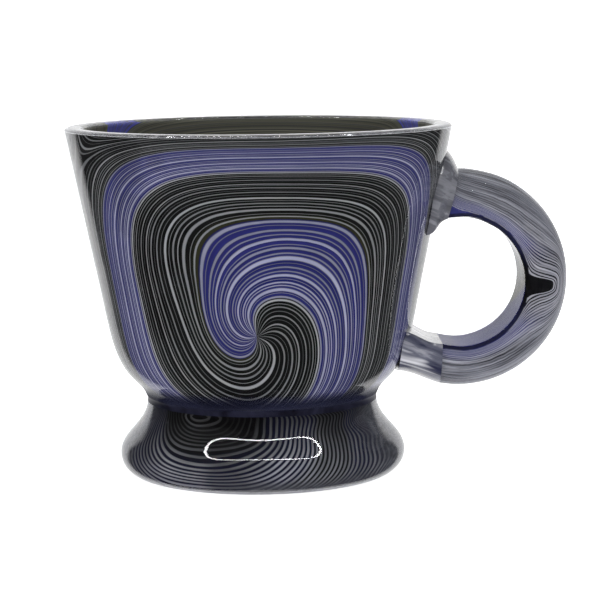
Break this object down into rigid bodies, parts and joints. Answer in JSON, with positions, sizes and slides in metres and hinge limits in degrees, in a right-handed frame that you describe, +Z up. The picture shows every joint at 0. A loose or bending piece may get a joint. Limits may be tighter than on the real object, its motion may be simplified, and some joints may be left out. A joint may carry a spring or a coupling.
{
  "type": "shaving mug",
  "caption": "Footed glass shaving mug with a tapered bowl, a flared hollow foot, a half-round ring handle and combed line work under clear casing.",
  "frame": {"origin": "centre of the ground ring under the foot, on the plane it stands on", "axes": "+Z up along the bowl's axis, +X from the axis through the middle of the handle"},
  "size_m": [0.1234, 0.095, 0.0861],
  "materials": {
    "bowl_ground": "gloss, opaque blue and black",
    "bowl_linework": "combed pale lines on blue and black",
    "bowl_casing": "clear, fire-polished",
    "lip_bead": "clear, fire-polished",
    "waist_seal": "clear, fire-polished",
    "foot_ground": "gloss, opaque blue and black",
    "foot_linework": "combed pale lines on blue and black",
    "foot_casing": "clear, fire-polished",
    "foot_rim_bead": "clear, fire-polished",
    "handle_ground": "gloss, opaque blue and black",
    "handle_linework": "combed pale lines on blue and black",
    "handle_casing": "clear, fire-polished",
    "upper_handle_seal": "clear, fire-polished",
    "lower_handle_seal": "clear, fire-polished"
  },
  "bodies": {
    "root": {"bowl_ground": "bowl_ground", "bowl_linework": "bowl_linework", "bowl_casing": "bowl_casing", "lip_bead": "lip_bead", "waist_seal": "waist_seal", "foot_ground": "foot_ground", "foot_linework": "foot_linework", "foot_casing": "foot_casing", "foot_rim_bead": "foot_rim_bead", "handle_ground": "handle_ground", "handle_linework": "handle_linework", "handle_casing": "handle_casing", "upper_handle_seal": "upper_handle_seal", "lower_handle_seal": "lower_handle_seal"}
  },
  "joints": []
}
